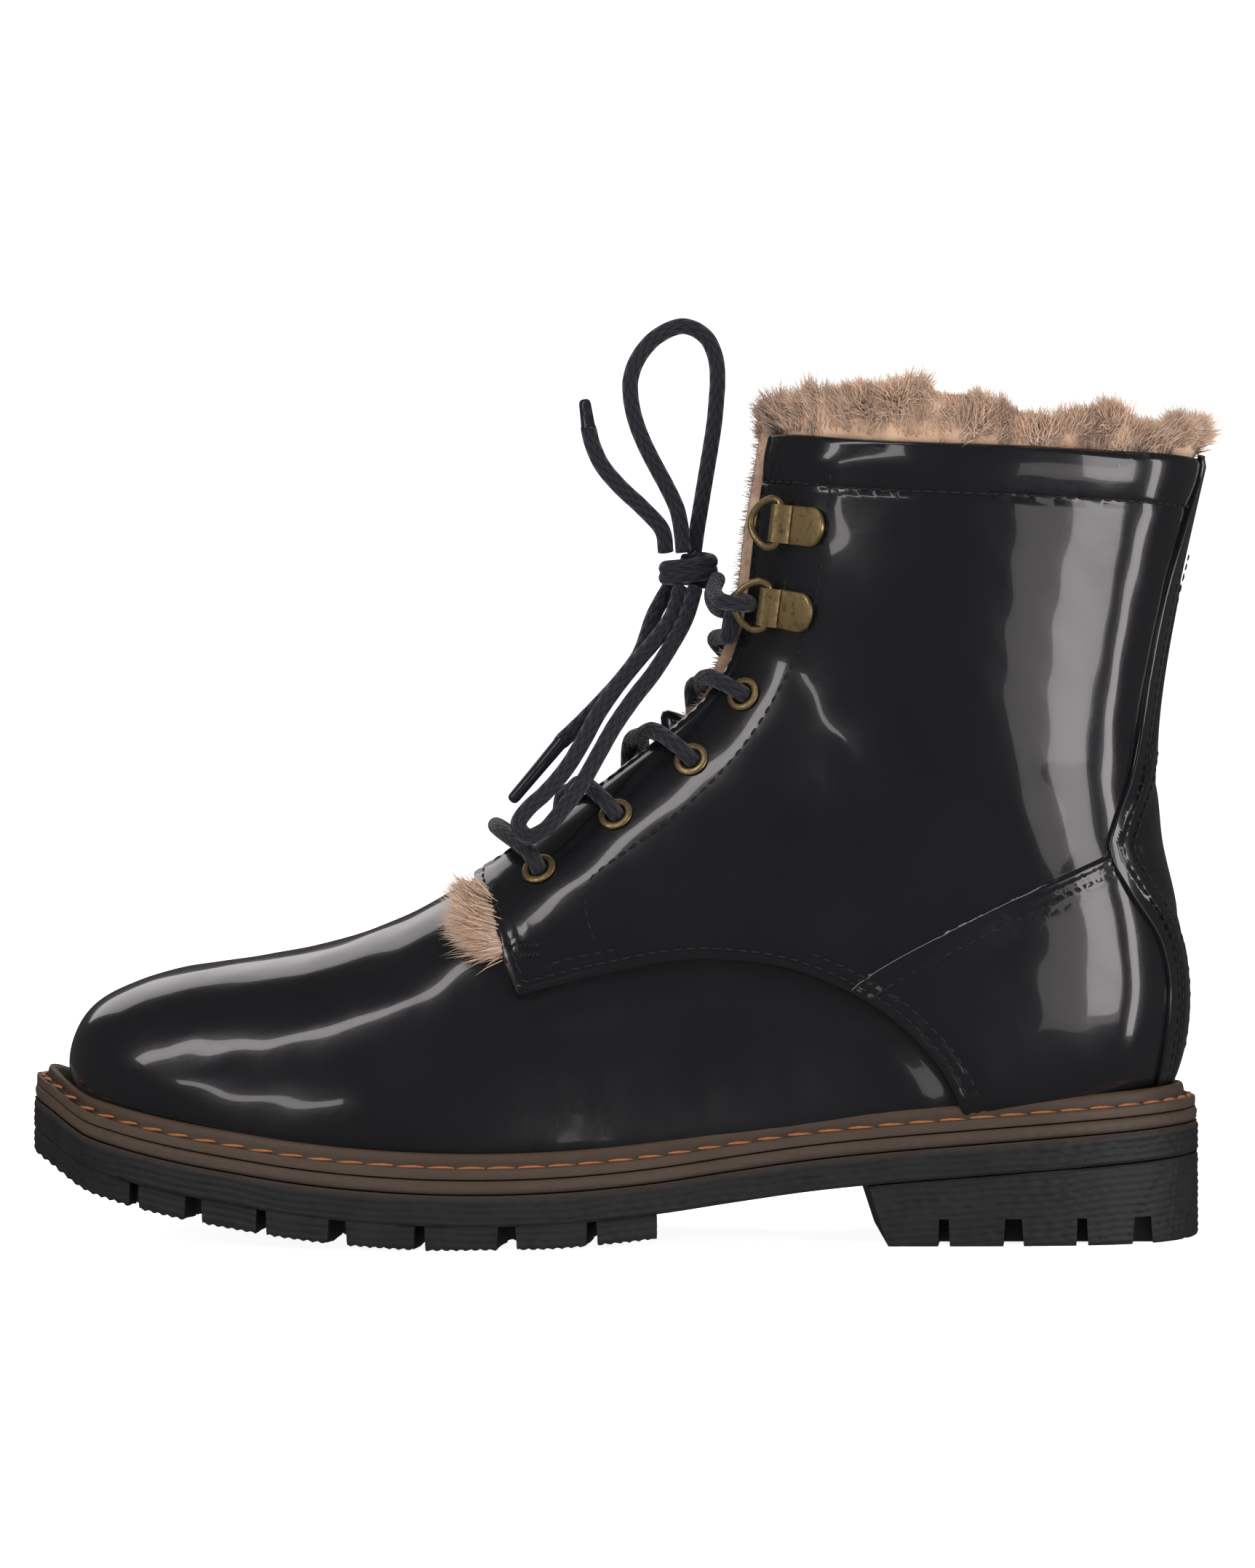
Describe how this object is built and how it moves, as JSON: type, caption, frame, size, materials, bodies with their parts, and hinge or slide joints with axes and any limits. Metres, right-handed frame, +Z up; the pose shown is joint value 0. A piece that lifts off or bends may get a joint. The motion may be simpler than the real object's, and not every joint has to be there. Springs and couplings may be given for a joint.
{
  "type": "insulated hunting boot",
  "caption": "Ankle-high insulated field boot: polished leather upper, pile lining, laced front with eyelets and rings, stitched welt and lugged rubber sole.",
  "frame": {"origin": "on the ground under the middle of the boot's box, its lace left out", "axes": "+X runs from toe to heel, +Y from the boot's outer side to its inner side, +Z up"},
  "size_m": [0.2924, 0.104, 0.2276],
  "materials": {
    "polished": "glossy polished black leather",
    "raw": "matte black leather with a raw edge",
    "fleece": "tan brushed wool pile",
    "welt": "brown matte welting leather",
    "rubber": "matte black moulded rubber",
    "brass": "antique brass, darkened",
    "lace": "navy-black woven braid",
    "thread": "orange-brown waxed thread",
    "board": "fibre board",
    "steel": "plain spring steel",
    "plastic": "glossy black moulded tip"
  },
  "bodies": {
    "boot": {"outsole": "rubber", "heel_block": "rubber", "midsole": "welt", "welt": "welt", "welt_thread": "thread", "filler": "board", "shank": "steel", "insole": "board", "footbed": "fleece", "vamp": "polished", "toe_puff": "board", "heel_stiffener": "board", "lining": "fleece", "back_strip": "raw", "quarter_outer": "polished", "quarter_inner": "polished", "counter_outer": "polished", "counter_inner": "polished", "eyelet_outer_1": "brass", "eyelet_outer_2": "brass", "eyelet_outer_3": "brass", "eyelet_outer_4": "brass", "ring_clip_outer_1": "brass", "ring_clip_outer_2": "brass", "eyelet_inner_1": "brass", "eyelet_inner_2": "brass", "eyelet_inner_3": "brass", "eyelet_inner_4": "brass", "ring_clip_inner_1": "brass", "ring_clip_inner_2": "brass", "lacing": "lace", "lace_knot": "lace", "lace_loop_up": "lace", "lace_loop_down": "lace", "lace_end_up": "lace", "lace_end_down": "lace", "aglet_up": "plastic", "aglet_down": "plastic"},
    "tongue": {"tongue": "polished", "tongue_fleece": "fleece"},
    "ring_outer_1": {"ring_outer_1": "brass"},
    "ring_outer_2": {"ring_outer_2": "brass"},
    "ring_inner_1": {"ring_inner_1": "brass"},
    "ring_inner_2": {"ring_inner_2": "brass"}
  },
  "joints": [
    {"name": "tongue_swing", "type": "hinge", "parent": "boot", "child": "tongue", "pos_m": [-0.0425, 0.0003, 0.079], "axis": [0, 1, 0], "range_deg": [0, 12]},
    {"name": "ring_outer_1_lift", "type": "hinge", "parent": "boot", "child": "ring_outer_1", "pos_m": [0.03544, -0.02509, 0.15491], "axis": [0.1278, -0.1248, 0.9839], "range_deg": [-20, 4]},
    {"name": "ring_outer_2_lift", "type": "hinge", "parent": "boot", "child": "ring_outer_2", "pos_m": [0.0382, -0.02753, 0.17509], "axis": [0.1111, -0.034, 0.9932], "range_deg": [-4, 110]},
    {"name": "ring_inner_1_lift", "type": "hinge", "parent": "boot", "child": "ring_inner_1", "pos_m": [0.03542, 0.02568, 0.15486], "axis": [-0.1208, -0.1326, -0.9838], "range_deg": [-20, 4]},
    {"name": "ring_inner_2_lift", "type": "hinge", "parent": "boot", "child": "ring_inner_2", "pos_m": [0.0382, 0.02818, 0.17509], "axis": [-0.111, -0.0341, -0.9932], "range_deg": [-4, 110]}
  ]
}
